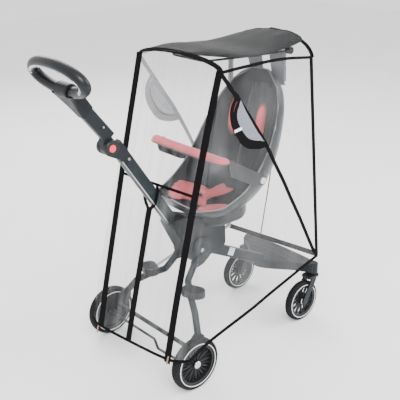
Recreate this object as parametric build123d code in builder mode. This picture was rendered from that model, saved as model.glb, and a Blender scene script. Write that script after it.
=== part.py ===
"""Folding high-view child stroller under a clear rain cover, as separate named pieces.

Frame: millimetres, +X is the way the stroller is pushed, +Y is its left side, +Z is up.
The origin is on the ground, under the middle of the whole object.
"""
from build123d import *
import math
import os

os.makedirs("parts", exist_ok=True)

# ---------------------------------------------------------------- driving dimensions
REAR_AXLE_X = -170.55          # rear axle's place, so that the origin is under the middle
REAR_WHEEL_R = 89.0            # 7 inch rear wheels
FRONT_WHEEL_R = 77.0           # 6 inch front wheels
WHEELBASE = 573.0
REAR_HALF_TRACK = 232.0
CASTER_Y = 166.0
CASTER_TRAIL = 58.0            # the swivel axis stands this far ahead of the wheel centre
RUN = 0.06                     # radial clearance of a pin that turns in a bore

REAR_TYRE_W = 32.0
FRONT_TYRE_W = 26.0
AXLE_R = 6.0

HUB_AHEAD, HUB_Z = 195.0, 360.0        # fold hub of the chassis
HUB_R = 47.0
HUB_HALF_W = 38.0
HUB_PIN_R = 8.0
DISC_T = 12.0                  # each fold disc outside the housing

ARM_DEPTH, ARM_WIDTH, ARM_WALL = 40.0, 25.0, 1.6
ARM_FOOT = (99.0, 488.0)       # lower arm's middle line where it leaves the housing
ARM_TOP = (-104.0, 789.0)      # lower arm's middle line at the knuckle
HANDLE_TOP = (-243.0, 963.0)   # upper arm's middle line under the ring
KNUCKLE = (-128.0, 786.0)      # handle fold axis
KNUCKLE_R = 25.5
KNUCKLE_HALF_W = 24.0
FOLD_PIN_R = 5.0

RING_CENTRE = (-277.4, 1019.8)
RING_HALF_LENGTH, RING_HALF_HEIGHT = 128.0, 47.5
RING_TILT = 117.5              # the ring's short axis, in degrees above +X
RING_TUBE_R = 16.8

BEAM_START, BEAM_END = (262.0, 336.0), (520.0, 206.0)
BEAM_DEPTH, BEAM_WIDTH = 38.0, 30.0

FOOTREST_Z, FOOTREST_T = 180.0, 30.0
SOCKET_R, STEM_R = 19.0, 9.0

SEAT_CENTRE = (193.0, 900.0)   # the bucket's sections fan out from this line
SHELL_WALL = 4.0
# Bucket stations: fan angle, rim radius, outer radius, half width
BUCKET = [
    (-111.0, 345.0, 352.0, 52.0),
    (-101.0, 366.0, 385.0, 118.0),
    (-90.0, 359.0, 417.0, 154.0),
    (-75.0, 330.0, 442.0, 168.0),
    (-60.0, 296.0, 450.0, 171.0),
    (-45.0, 273.0, 419.0, 170.0),
    (-30.0, 264.0, 386.0, 160.0),
    (-15.0, 272.0, 371.0, 138.0),
    (-4.0, 290.0, 358.0, 106.0),
    (4.0, 315.0, 331.0, 46.0),
]

COVER_T = 1.0                  # film thickness
REAR_TOP, REAR_HEM = (147.0, 997.0), (-96.0, 100.0)   # rear film panel's slope, side view
COVER_TOP_HALF, COVER_HEM_HALF = 197.0, 257.0
REAR_ARCH, FRONT_ARCH = 30.0, 79.0
SLOT_Z, SLOT_LENGTH, SLOT_WIDTH = 587.0, 84.0, 36.0

BUMPER_AXIS = (343.0, 610.0)
BUMPER_BAR = (176.0, 706.0)
BUMPER_HALF_W = 174.0
GRIP_R = 16.0

CANOPY_AXIS = (525.0, 1000.0)

SIDES = ((1, "left"), (-1, "right"))


# ---------------------------------------------------------------- helpers
def ahead(distance):
    """Frame X of a place that far ahead of the rear axle."""
    return REAR_AXLE_X + distance


def point(place, y=0.0):
    """Frame point of a side-view place (distance ahead of the rear axle, height)."""
    return Vector(ahead(place[0]), y, place[1])


def save(part, name):
    part.label = name
    export_step(part, f"parts/{name}.step")


def mirrored(part, side):
    """The part itself for the left side, its mirror image for the right."""
    return part if side > 0 else mirror(part, about=Plane.XZ)


def side_view(y=0.0):
    """Sketch plane seen from the left: local x is forward, local y is up."""
    return Plane(origin=(0, y, 0), x_dir=(1, 0, 0), z_dir=(0, -1, 0))


def cylinder_y(place, radius, y_from, y_to):
    """Round bar along Y at a side-view place."""
    with BuildPart() as bar:
        with BuildSketch(side_view(y_to)):
            with Locations((ahead(place[0]), place[1])):
                Circle(radius)
        extrude(amount=y_to - y_from)
    return bar.part


def beam(start, end, depth, width, wall, corner):
    """Straight rectangular tube between two side-view places."""
    run = point(end) - point(start)
    section = Plane(origin=point(start), x_dir=(0, 1, 0), z_dir=run)
    with BuildPart() as tube:
        with BuildSketch(section):
            RectangleRounded(width, depth, corner)
            if wall:
                RectangleRounded(width - 2 * wall, depth - 2 * wall, corner - wall, mode=Mode.SUBTRACT)
        extrude(amount=run.length)
    return tube.part


def bent_tube(points, radius, bend, wall=0.0):
    """Round tube along straight runs joined by arcs."""
    with BuildPart() as tube:
        with BuildLine() as route:
            FilletPolyline(*points, radius=bend)
        with BuildSketch(Plane(origin=route.line @ 0, z_dir=route.line % 0)):
            Circle(radius)
            if wall:
                Circle(radius - wall, mode=Mode.SUBTRACT)
        sweep(path=route.line)
    return tube.part


def side_plate(outline, y_from, y_to):
    """Plate whose side view is a hull round circles given as (place, radius)."""
    with BuildPart() as plate:
        with BuildSketch(side_view(y_to)) as profile:
            for place, radius in outline:
                with Locations((ahead(place[0]), place[1])):
                    Circle(radius)
            make_hull()
        extrude(amount=y_to - y_from)
    return plate.part


def ruled_wall(lower, upper, thickness):
    """Thin wall between two rails of matching points; thickness is a vector."""
    sections = []
    for low, high in zip(lower, upper):
        with BuildSketch(Plane(origin=low, x_dir=Vector(*high) - Vector(*low),
                               z_dir=(Vector(*high) - Vector(*low)).cross(Vector(*thickness)))) as quad:
            length = (Vector(*high) - Vector(*low)).length
            across = Vector(*thickness).length
            Rectangle(length, across, align=(Align.MIN, Align.CENTER))
        sections.append(quad.sketch.faces()[0])
    return loft(sections, ruled=True)


# ---------------------------------------------------------------- wheels
def tyre(radius, width, inner):
    """Tyre revolved about Y, centred on the origin."""
    half, shoulder = width / 2, width * 0.30
    with BuildPart() as ring:
        with BuildSketch(Plane.XY):
            with BuildLine():
                Polyline((inner, -half), (radius - shoulder, -half))
                ThreePointArc((radius - shoulder, -half), (radius, 0), (radius - shoulder, half))
                Polyline((radius - shoulder, half), (inner, half), (inner, -half))
            make_face()
        revolve(axis=Axis.Y)
    return ring.part


def rim(outer, width, spokes, bore):
    """Spoked plastic wheel centre about Y, centred on the origin."""
    ring_depth, hub_r = 9.0, 15.0
    with BuildPart() as wheel:
        with BuildSketch(Plane.XZ.offset(-width / 2)):
            Circle(outer)
            Circle(outer - ring_depth, mode=Mode.SUBTRACT)
        extrude(amount=width)
        with BuildSketch(Plane.XZ.offset(-width / 2)):
            Circle(hub_r)
        extrude(amount=width)
        with BuildSketch(Plane.XZ.offset(-width / 6)):
            with PolarLocations((hub_r + outer - ring_depth) / 2, spokes):
                Rectangle(outer - ring_depth - hub_r + 4, 5.5)
        extrude(amount=width / 3)
        with BuildSketch(Plane.XZ.offset(-width / 2 - 1)):
            Circle(bore)
        extrude(amount=width + 2, mode=Mode.SUBTRACT)
    return wheel.part


rear_inner, front_inner = REAR_WHEEL_R * 0.80, FRONT_WHEEL_R * 0.80
rear_tyre = tyre(REAR_WHEEL_R, REAR_TYRE_W, rear_inner)
rear_rim = rim(rear_inner, REAR_TYRE_W - 6, 12, AXLE_R + RUN)
front_tyre = tyre(FRONT_WHEEL_R, FRONT_TYRE_W, front_inner)
front_rim = rim(front_inner, FRONT_TYRE_W - 4, 12, 5.0 + RUN)
for side, name in SIDES:
    rear_place = Pos(ahead(0), side * REAR_HALF_TRACK, REAR_WHEEL_R)
    front_place = Pos(ahead(WHEELBASE), side * CASTER_Y, FRONT_WHEEL_R)
    save(rear_place * rear_tyre, f"rear_tyre_{name}")
    save(rear_place * rear_rim, f"rear_rim_{name}")
    save(front_place * front_tyre, f"front_tyre_{name}")
    save(front_place * front_rim, f"front_rim_{name}")

# ---------------------------------------------------------------- front casters and footrest
fork_inner, fork_plate = FRONT_TYRE_W / 2 + 2.5, 6.0
stem_top = FOOTREST_Z + FOOTREST_T - 6
swivel = (WHEELBASE + CASTER_TRAIL, 0)
with BuildPart() as fork:
    for y in (fork_inner, -fork_inner - fork_plate):
        add(side_plate([((WHEELBASE, FRONT_WHEEL_R), 12), ((WHEELBASE + 44, 156), 12)], y, y + fork_plate))
    with BuildSketch(Plane.XY.offset(160)):
        with Locations((ahead(WHEELBASE + 46), 0)):
            RectangleRounded(52, 2 * (fork_inner + fork_plate), 6)
    extrude(amount=9)
    with BuildSketch(Plane.XY.offset(160)):
        with Locations((ahead(swivel[0]), 0)):
            Circle(STEM_R)
    extrude(amount=stem_top - 160)
    add(cylinder_y((WHEELBASE, FRONT_WHEEL_R), 5.0, -fork_inner - 1, fork_inner + 1))

with BuildPart() as socket:
    with BuildSketch(Plane.XY.offset(171)):
        with Locations((ahead(swivel[0]), 0)):
            Circle(SOCKET_R)
    extrude(amount=FOOTREST_Z + FOOTREST_T + 2 - 171)
    fillet(socket.edges().group_by(Axis.Z)[-1], 4)
    with BuildSketch(Plane.XY.offset(170)):
        with Locations((ahead(swivel[0]), 0)):
            Circle(STEM_R + RUN)
    extrude(amount=stem_top + 1 - 170, mode=Mode.SUBTRACT)

for side, name in SIDES:
    save(Pos(0, side * CASTER_Y, 0) * fork.part, f"caster_fork_{name}")
    save(Pos(0, side * CASTER_Y, 0) * socket.part, f"caster_socket_{name}")


with BuildPart() as footrest:
    tip_y = CASTER_Y + 14
    with BuildSketch(Plane.XY.offset(FOOTREST_Z)):
        with BuildLine():
            ThreePointArc((ahead(646), tip_y), (ahead(657), 0), (ahead(646), -tip_y))
            Line((ahead(646), -tip_y), (ahead(606), -tip_y))
            Spline((ahead(606), -tip_y), (ahead(556), -92), (ahead(500), 0), (ahead(556), 92),
                   (ahead(606), tip_y))
            Line((ahead(606), tip_y), (ahead(646), tip_y))
        make_face()
    extrude(amount=FOOTREST_T)
    fillet(footrest.edges().filter_by(Axis.Z), 14)
    fillet(footrest.edges().group_by(Axis.Z)[-1], 6)
    with BuildSketch(Plane.XY.offset(FOOTREST_Z)):
        with Locations((ahead(600), 0)):
            Ellipse(38, 118)
    extrude(amount=FOOTREST_T - 4, mode=Mode.SUBTRACT)
    for y in (CASTER_Y, -CASTER_Y):
        with BuildSketch(Plane.XY.offset(FOOTREST_Z - 1)):
            with Locations((ahead(swivel[0]), y)):
                Circle(SOCKET_R + 0.05)
        extrude(amount=FOOTREST_T + 4, mode=Mode.SUBTRACT)
save(footrest.part, "footrest")

with BuildPart() as front_beam:
    add(beam(BEAM_START, BEAM_END, BEAM_DEPTH, BEAM_WIDTH, 1.8, 6))
save(front_beam.part, "front_beam")

# ---------------------------------------------------------------- central housing and arm
with BuildPart() as hub_housing:
    with BuildSketch(side_view(HUB_HALF_W)):
        for place, radius in (((HUB_AHEAD, HUB_Z), HUB_R), ((108, 474), 22), ((136, 484), 10),
                              ((300, 420), 12), ((298, 354), 16)):
            with Locations((ahead(place[0]), place[1])):
                Circle(radius)
        make_hull()
    extrude(amount=2 * HUB_HALF_W)
    fillet(hub_housing.faces().filter_by(Axis.Y).edges(), 4)
    with BuildSketch(side_view(HUB_HALF_W - 4)):
        for place, radius in (((HUB_AHEAD + 26, HUB_Z + 18), 40), ((130, 462), 12), ((280, 408), 12)):
            with Locations((ahead(place[0]), place[1])):
                Circle(radius)
        make_hull()
    extrude(amount=2 * HUB_HALF_W - 8, mode=Mode.SUBTRACT)
    with BuildSketch(side_view(HUB_HALF_W + 1)):
        with Locations((ahead(HUB_AHEAD), HUB_Z)):
            Circle(HUB_PIN_R)
    extrude(amount=2 * HUB_HALF_W + 2, mode=Mode.SUBTRACT)
save(hub_housing.part, "hub_housing")

pin_half = HUB_HALF_W + DISC_T - 1
with BuildPart() as hub_pin:
    add(cylinder_y((HUB_AHEAD, HUB_Z), HUB_PIN_R, -pin_half, pin_half))
save(hub_pin.part, "hub_pin")

arm_run = (point(ARM_TOP) - point(ARM_FOOT)).normalized()
arm_bottom = (ARM_FOOT[0] - arm_run.X * 30, ARM_FOOT[1] - arm_run.Z * 30)
with BuildPart() as lower_arm:
    add(beam(arm_bottom, ARM_TOP, ARM_DEPTH, ARM_WIDTH, ARM_WALL, 5))
    add(beam((ARM_TOP[0] - arm_run.X * 60, ARM_TOP[1] - arm_run.Z * 60), ARM_TOP,
             ARM_DEPTH - 2, ARM_WIDTH - 2, 0, 4))
    add(cylinder_y(KNUCKLE, KNUCKLE_R + 1.5, -20, 20), mode=Mode.SUBTRACT)
save(lower_arm.part, "lower_arm")

cheek_foot = (ARM_TOP[0] - arm_run.X * 52, ARM_TOP[1] - arm_run.Z * 52)
with BuildPart() as knuckle_base:
    for y in (ARM_WIDTH / 2 + 0.1, -KNUCKLE_HALF_W):
        cheek = KNUCKLE_HALF_W - ARM_WIDTH / 2 - 0.1
        add(side_plate([(KNUCKLE, KNUCKLE_R), (cheek_foot, 13)], y, y + cheek))
        add(cylinder_y(KNUCKLE, FOLD_PIN_R, y, y + cheek), mode=Mode.SUBTRACT)
    for side in (1, -1):
        low, high = sorted((side * KNUCKLE_HALF_W, side * (KNUCKLE_HALF_W - 8)))
        add(cylinder_y(KNUCKLE, 12.3, low, high), mode=Mode.SUBTRACT)
save(knuckle_base.part, "knuckle_base")

with BuildPart() as fold_pin:
    add(cylinder_y(KNUCKLE, FOLD_PIN_R, -KNUCKLE_HALF_W + 8, KNUCKLE_HALF_W - 8))
save(fold_pin.part, "fold_pin")

with BuildPart() as arm_screws:
    for place, y in (((-71, 741), KNUCKLE_HALF_W),):
        for low in (y, -y - 2.5):
            add(cylinder_y(place, 4.2, low, low + 2.5))
save(arm_screws.part, "arm_screws")

# ---------------------------------------------------------------- folding handle
handle_run = (point(HANDLE_TOP) - point(ARM_TOP)).normalized()


def up_handle(distance, drop=0.0):
    """Side-view place that far up the upper arm, dropped towards its lower face."""
    return (ARM_TOP[0] + handle_run.X * distance - handle_run.Z * drop,
            ARM_TOP[1] + handle_run.Z * distance + handle_run.X * drop)


with BuildPart() as upper_arm:
    add(beam(up_handle(34), up_handle(196), ARM_DEPTH, ARM_WIDTH, ARM_WALL, 5))
    add(beam(up_handle(34), up_handle(60), ARM_DEPTH - 2, ARM_WIDTH - 2, 0, 4))
    add(side_plate([(KNUCKLE, KNUCKLE_R - 1.5), (up_handle(46, 6), 12)],
                   -ARM_WIDTH / 2 + 0.4, ARM_WIDTH / 2 - 0.4))
    add(cylinder_y(KNUCKLE, FOLD_PIN_R + RUN, -30, 30), mode=Mode.SUBTRACT)
    add(cylinder_y(up_handle(78), 4.2, ARM_WIDTH / 2 - 0.5, ARM_WIDTH / 2 + 2))
    add(cylinder_y(up_handle(78), 4.2, -ARM_WIDTH / 2 - 2, -ARM_WIDTH / 2 + 0.5))
save(upper_arm.part, "upper_arm")

ring_up = Vector(math.cos(math.radians(RING_TILT)), 0, math.sin(math.radians(RING_TILT)))
ring_plane = Plane(origin=point(RING_CENTRE), x_dir=(0, 1, 0), z_dir=Vector(0, 1, 0).cross(ring_up))


def ring_half(start):
    """Half of the oval grip tube, from one end of its long axis to the other."""
    with BuildPart() as half:
        with BuildLine(ring_plane) as oval:
            EllipticalCenterArc((0, 0), RING_HALF_LENGTH, RING_HALF_HEIGHT, start_angle=start, arc_size=180)
        with BuildSketch(Plane(origin=oval.line @ 0, z_dir=oval.line % 0)):
            Circle(RING_TUBE_R)
        sweep(path=oval.line)
    return half.part


with BuildPart() as handle_ring:
    add(ring_half(0))
    add(ring_half(180))
save(handle_ring.part, "handle_ring")

# The yoke is a wedge that widens from the arm to a sleeve round the ring's lower run.
yoke_run = Plane(origin=point(up_handle(150)), x_dir=(0, 1, 0), z_dir=handle_run)
ring_low = (RING_CENTRE[0] - ring_up.X * RING_HALF_HEIGHT, RING_CENTRE[1] - ring_up.Z * RING_HALF_HEIGHT)
with BuildPart() as handle_yoke:
    with BuildSketch(yoke_run):
        RectangleRounded(33, 46, 7)
    with BuildSketch(yoke_run.offset(38)):
        RectangleRounded(56, 44, 9)
    with BuildSketch(Plane(origin=point(ring_low), x_dir=(0, 1, 0), z_dir=ring_up)):
        RectangleRounded(118, 42, 14)
    loft()
    with BuildSketch(yoke_run.offset(-1)):
        RectangleRounded(ARM_WIDTH, ARM_DEPTH, 5)
    extrude(amount=48, mode=Mode.SUBTRACT)
    add(ring_half(0), mode=Mode.SUBTRACT)
    add(ring_half(180), mode=Mode.SUBTRACT)
save(handle_yoke.part, "handle_yoke")

for side, name in SIDES:
    with BuildPart() as button:
        low = KNUCKLE_HALF_W - 4.0
        add(cylinder_y(KNUCKLE, 12.0, low, KNUCKLE_HALF_W + 2.5))
        fillet(button.faces().sort_by(Axis.Y)[-1].edges(), 1.5)
    save(mirrored(button.part, side), f"handle_button_{name}")

# ---------------------------------------------------------------- rear legs
leg_route = [(166, 47, 326), (120, 60, 276), (92, 104, 252), (66, 158, 214), (46, 194, 160), (18, 199, 112)]
leg_points = [point((x, z), y) for x, y, z in leg_route]
leg_core = bent_tube(leg_points, 11.5, 22)
with BuildPart() as rear_leg:
    add(bent_tube(leg_points, 11.5, 22, 1.8))
with BuildPart() as hub_disc:
    add(cylinder_y((HUB_AHEAD, HUB_Z), HUB_R, HUB_HALF_W + 0.4, HUB_HALF_W + DISC_T))
    fillet(hub_disc.faces().sort_by(Axis.Y)[-1].edges(), 4)
    add(side_plate([((HUB_AHEAD - 8, HUB_Z - 28), 19), ((166, 322), 14)], HUB_HALF_W + 0.4, HUB_HALF_W + 19))
    add(cylinder_y((HUB_AHEAD, HUB_Z), HUB_PIN_R + RUN, 30, 70), mode=Mode.SUBTRACT)
    add(leg_core, mode=Mode.SUBTRACT)
with BuildPart() as wheel_bracket:
    add(side_plate([((0, REAR_WHEEL_R), 20), ((20, 120), 20), ((46, 152), 14)], 186, 211))
    add(leg_core, mode=Mode.SUBTRACT)
    add(cylinder_y((0, REAR_WHEEL_R), AXLE_R, 172, REAR_HALF_TRACK + REAR_TYRE_W / 2 - 2))
with BuildPart() as leg_pad:
    with BuildSketch(Plane.XY.offset(252)):
        with Locations((ahead(96), 116)):
            SlotCenterToCenter(30, 52, rotation=68)
    extrude(amount=24)
    fillet(leg_pad.faces().sort_by(Axis.Z)[-1].edges(), 4)
    add(leg_core, mode=Mode.SUBTRACT)
for side, name in SIDES:
    save(mirrored(rear_leg.part, side), f"rear_leg_{name}")
    save(mirrored(hub_disc.part, side), f"hub_disc_{name}")
    save(mirrored(wheel_bracket.part, side), f"wheel_bracket_{name}")
    save(mirrored(leg_pad.part, side), f"leg_pad_{name}")

with BuildPart() as rear_axle:
    with BuildSketch(side_view(186)):
        with Locations((ahead(6), 127)):
            Circle(7.5)
            Circle(6.0, mode=Mode.SUBTRACT)
    extrude(amount=372)
save(rear_axle.part, "rear_axle")

# ---------------------------------------------------------------- brake bar
brake_route = [(-30, 178, 112), (-30, 60, 113), (-30, -62, 113), (-30, -80, 84), (-30, -178, 90)]
with BuildPart() as brake_bar:
    add(bent_tube([point((x, z), y) for x, y, z in brake_route], 4.5, 9))
    for y, z in ((175, 112), (-182, 90)):
        add(side_plate([((0, REAR_WHEEL_R), 11), ((-30, z), 8)], y, y + 7))
        add(cylinder_y((0, REAR_WHEEL_R), AXLE_R + RUN, y - 1, y + 8), mode=Mode.SUBTRACT)
save(brake_bar.part, "brake_bar")


# ---------------------------------------------------------------- seat bucket
def at_angle(angle):
    """Rim radius, outer radius and half width of the bucket at a fan angle."""
    for (a0, *low), (a1, *high) in zip(BUCKET, BUCKET[1:]):
        if a0 <= angle <= a1:
            share = (angle - a0) / (a1 - a0)
            return [p + (q - p) * share for p, q in zip(low, high)]
    raise ValueError(angle)


def fan_plane(angle, radius):
    """Plane on the fan's ray: local x points outwards, local y along +Y."""
    a = math.radians(angle)
    ray = Vector(math.cos(a), 0, math.sin(a))
    return Plane(origin=point(SEAT_CENTRE) + ray * radius, x_dir=ray, z_dir=(-math.sin(a), 0, math.cos(a)))


def bowl(angles, grow):
    """Closed solid of half-elliptic sections that stands proud of the bucket's outer face."""
    sections = []
    for angle in angles:
        rim_r, outer_r, half = at_angle(angle)
        with BuildSketch(fan_plane(angle, rim_r)) as section:
            with BuildLine():
                EllipticalCenterArc((0, 0), outer_r - rim_r + grow, half + grow,
                                    start_angle=-90, arc_size=180)
                Line((0, half + grow), (0, -half - grow))
            make_face()
        sections.append(section.sketch.faces()[0])
    return loft(sections)


def lining(angles, inset, thickness, reach=90.0):
    """Layer that follows the bucket's wall, inset from its outer face.

    Its sections reach that many degrees each way round the half ellipse.
    """
    sections = []
    for angle in angles:
        rim_r, outer_r, half = at_angle(angle)
        outer = (outer_r - rim_r - inset, half - inset)
        inner = (outer[0] - thickness, outer[1] - thickness)
        outer_arc = [(outer[0] * math.cos(t), outer[1] * math.sin(t)) for t in arc_steps(reach)]
        inner_arc = [(inner[0] * math.cos(t), inner[1] * math.sin(t)) for t in arc_steps(reach)]
        with BuildSketch(fan_plane(angle, rim_r)) as section:
            with BuildLine():
                Spline(*outer_arc)
                Line(outer_arc[-1], inner_arc[-1])
                Spline(*reversed(inner_arc))
                Line(inner_arc[0], outer_arc[0])
            make_face()
        sections.append(section.sketch.faces()[0])
    return loft(sections)


def arc_steps(reach):
    """Seven angles in radians from one end of a section's arc to the other."""
    return [math.radians(reach * step / 3) for step in range(-3, 4)]


station_angles = [row[0] for row in BUCKET]
shell_outer = bowl(station_angles, 1.5)
with BuildPart() as seat_shell:
    add(lining(station_angles, 0.0, SHELL_WALL))
    for side in (1, -1):
        for radius, reach in ((15, BUMPER_HALF_W + 0.6), (10.8, BUMPER_HALF_W + 2.0)):
            low, high = sorted((side * 165, side * reach))
            add(cylinder_y(BUMPER_AXIS, radius, low, high))
save(seat_shell.part, "seat_shell")

PAD_GAP = SHELL_WALL + 2.0
with BuildPart() as seat_cushion:
    add(lining([-101, -90, -75], PAD_GAP + 3, 8, 64))
save(seat_cushion.part, "seat_cushion")
with BuildPart() as seat_liner:
    add(lining([-60, -45, -30, -15, -4], PAD_GAP, 9, 40))
save(seat_liner.part, "seat_liner")

wing_lean = math.radians(10)
wing_plane = Plane(origin=point((462, 766)), x_dir=(math.cos(wing_lean), 0, -math.sin(wing_lean)),
                   z_dir=(math.sin(wing_lean), 0, math.cos(wing_lean)))
with BuildPart() as wing:
    with BuildSketch(wing_plane.offset(-56)):
        with Locations((0, 74)):
            Ellipse(18, 14)
    extrude(amount=112)
    fillet(wing.faces().filter_by(GeomType.PLANE).edges(), 6)
for side, name in SIDES:
    save(mirrored(wing.part, side), f"headrest_wing_{name}")

crotch_plane = fan_plane(-84, at_angle(-84)[1] - SHELL_WALL - 20.6)
with BuildPart() as crotch_pad:
    with BuildSketch(Plane(origin=crotch_plane.origin, x_dir=(0, 1, 0),
                           z_dir=-crotch_plane.x_dir)):
        RectangleRounded(46, 20, 6)
    extrude(amount=64)
save(crotch_pad.part, "crotch_pad")

with BuildPart() as seat_base:
    with BuildSketch(Plane.XY.offset(434)):
        with Locations((ahead(302), 0)):
            RectangleRounded(200, 176, 70)
    extrude(amount=86)
    fillet(seat_base.faces().sort_by(Axis.Z)[0].edges(), 30)
    with BuildSketch(Plane.XY.offset(440)):
        with Locations((ahead(302), 0)):
            RectangleRounded(138, 112, 40)
    extrude(amount=90, mode=Mode.SUBTRACT)
    add(shell_outer, mode=Mode.SUBTRACT)
    add(hub_housing.part, mode=Mode.SUBTRACT)
    base_pieces = seat_base.solids().sort_by(SortBy.VOLUME)
with BuildPart() as seat_base_clean:
    add(base_pieces[-1])
save(seat_base_clean.part, "seat_base")

# ---------------------------------------------------------------- bumper bar
for side, name in SIDES:
    with BuildPart() as bumper_button:
        add(cylinder_y(BUMPER_AXIS, 11, BUMPER_HALF_W + 5.5, BUMPER_HALF_W + 12.5))
    save(mirrored(bumper_button.part, side), f"bumper_button_{name}")

with BuildPart() as bumper_frame:
    for low in (BUMPER_HALF_W + 1, -BUMPER_HALF_W - 9):
        add(side_plate([(BUMPER_AXIS, 17), ((BUMPER_AXIS[0] - 50, BUMPER_AXIS[1] + 18), 18),
                        ((BUMPER_BAR[0] + 28, BUMPER_BAR[1] - 9), 11),
                        ((BUMPER_BAR[0] + 36, BUMPER_BAR[1] - 42), 11)], low, low + 8))
        add(cylinder_y(BUMPER_AXIS, 11.3, low - 1, low + 9), mode=Mode.SUBTRACT)
    add(bent_tube([point((BUMPER_BAR[0] + 44, BUMPER_BAR[1] - 10), BUMPER_HALF_W),
                   point(BUMPER_BAR, BUMPER_HALF_W), point(BUMPER_BAR, -BUMPER_HALF_W),
                   point((BUMPER_BAR[0] + 44, BUMPER_BAR[1] - 10), -BUMPER_HALF_W)], 9, 24))
save(bumper_frame.part, "bumper_frame")

with BuildPart() as bumper_grip:
    with BuildSketch(side_view(BUMPER_HALF_W - 26)):
        with Locations((ahead(BUMPER_BAR[0]), BUMPER_BAR[1])):
            Circle(GRIP_R)
            Circle(9.0, mode=Mode.SUBTRACT)
    extrude(amount=2 * (BUMPER_HALF_W - 26))
save(bumper_grip.part, "bumper_grip")

# ---------------------------------------------------------------- canopy
for side, name in SIDES:
    with BuildPart() as post:
        with BuildSketch(Plane.XY.offset(872)):
            with Locations((ahead(550), 48)):
                RectangleRounded(7, 54, 3)
        with BuildSketch(Plane.XY.offset(1008)):
            with Locations((ahead(525), 59)):
                RectangleRounded(7, 80, 3)
        loft()
        add(shell_outer, mode=Mode.SUBTRACT)
        add(cylinder_y(CANOPY_AXIS, 5, 10, 110), mode=Mode.SUBTRACT)
    save(mirrored(post.solids().sort_by(SortBy.VOLUME)[-1], side), f"canopy_post_{name}")

with BuildPart() as canopy_pivot:
    for low in (20, -117):
        add(cylinder_y(CANOPY_AXIS, 5, low, low + 97))
save(canopy_pivot.part, "canopy_pivot")


def arch_section(x, half, edge_z, rise, thickness):
    """Arched band across the stroller at one X, edge height and rise."""
    with BuildSketch(Plane(origin=(x, 0, edge_z), x_dir=(0, 1, 0), z_dir=(1, 0, 0))) as band:
        with BuildLine():
            EllipticalCenterArc((0, 0), half, rise, start_angle=0, arc_size=180)
            Line((-half, 0), (-half + thickness, 0))
            EllipticalCenterArc((0, 0), half - thickness, rise - thickness, start_angle=0, arc_size=180)
            Line((half - thickness, 0), (half, 0))
        make_face()
    return band.sketch.faces()[0]


with BuildPart() as canopy_fabric:
    add(loft([arch_section(ahead(158), 112, 1001, 18, 3),
              arch_section(ahead(230), 138, 1008, 22, 3),
              arch_section(ahead(330), 148, 1009, 28, 3),
              arch_section(ahead(440), 149, 1014, 33, 3),
              arch_section(ahead(540), 147, 1022, 34, 3)]))
save(canopy_fabric.part, "canopy_fabric")

with BuildPart() as canopy_frame:
    hoop = [((525, 1000), 122), ((330, 1011), 133), ((185, 1007), 78)]
    route = [point(place, y) for place, y in hoop]
    route += [point(place, -y) for place, y in reversed(hoop)]
    add(bent_tube(route, 3.5, 30))
    for low in (105, -123):
        add(cylinder_y(CANOPY_AXIS, 12, low, low + 18))
        add(cylinder_y(CANOPY_AXIS, 5 + RUN, -118, 118), mode=Mode.SUBTRACT)
save(canopy_frame.part, "canopy_frame")


# ---------------------------------------------------------------- rain cover
def rear_x(z):
    """Side-view distance of the rear film panel's inner face at a height."""
    share = (z - REAR_HEM[1]) / (REAR_TOP[1] - REAR_HEM[1])
    return REAR_HEM[0] + (REAR_TOP[0] - REAR_HEM[0]) * share


rear_up = (point(REAR_TOP) - point(REAR_HEM)).normalized()
rear_length = (point(REAR_TOP) - point(REAR_HEM)).length
rear_plane = Plane(origin=point(REAR_HEM), x_dir=(0, -1, 0), z_dir=Vector(0, -1, 0).cross(rear_up))


def rear_height(z):
    """Distance up the rear panel's slope to a height."""
    return (z - REAR_HEM[1]) / rear_up.Z


with BuildPart() as cover_rear:
    with BuildSketch(rear_plane):
        with BuildLine():
            Polyline((0, 0), (COVER_HEM_HALF - 60, rear_height(104)), (COVER_HEM_HALF, rear_height(122)),
                     (COVER_TOP_HALF, rear_length))
            ThreePointArc((COVER_TOP_HALF, rear_length), (0, rear_length + REAR_ARCH),
                          (-COVER_TOP_HALF, rear_length))
            Polyline((-COVER_TOP_HALF, rear_length), (-COVER_HEM_HALF, rear_height(122)),
                     (-COVER_HEM_HALF + 60, rear_height(104)), (0, 0))
        make_face()
        with Locations((0, rear_height(SLOT_Z))):
            SlotOverall(SLOT_LENGTH, SLOT_WIDTH, rotation=90, mode=Mode.SUBTRACT)
    extrude(amount=COVER_T)
save(cover_rear.part, "cover_rear")

hem_rail = [(rear_x(122), 122, COVER_HEM_HALF), (84, 150, COVER_HEM_HALF), (330, 206, 239), (600, 268, 209)]
top_rail = [(rear_x(995), 995, COVER_TOP_HALF), (235, 1000, 200), (390, 1001, 201), (551, 988, 191)]
for side, name in SIDES:
    rails = [[point((x, z), side * (y + 1)) for x, z, y in rail] for rail in (hem_rail, top_rail)]
    with BuildPart() as cover_side:
        add(ruled_wall(rails[0], rails[1], (0, COVER_T, 0)))
    save(cover_side.part, f"cover_side_{name}")

with BuildPart() as cover_front:
    front_up = point((552, 988)) - point((601.5, 268))
    front_plane = Plane(origin=point((601.5, 268)), x_dir=(0, 1, 0), z_dir=Vector(0, 1, 0).cross(front_up))
    with BuildSketch(front_plane):
        with BuildLine():
            Polyline((-190, front_up.length), (-208, 0), (208, 0), (190, front_up.length))
            EllipticalCenterArc((0, front_up.length), 190, FRONT_ARCH, start_angle=0, arc_size=180)
        make_face()
    extrude(amount=COVER_T)
save(cover_front.part, "cover_front")

with BuildPart() as cover_roof:
    add(loft([arch_section(ahead(150.5), 196, 996, REAR_ARCH + 1, COVER_T),
              arch_section(ahead(235), 199, 1001.5, 36, COVER_T),
              arch_section(ahead(390), 200, 1002.5, 56, COVER_T),
              arch_section(ahead(547), 190, 990, FRONT_ARCH, COVER_T)]))
save(cover_roof.part, "cover_roof")

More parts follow.
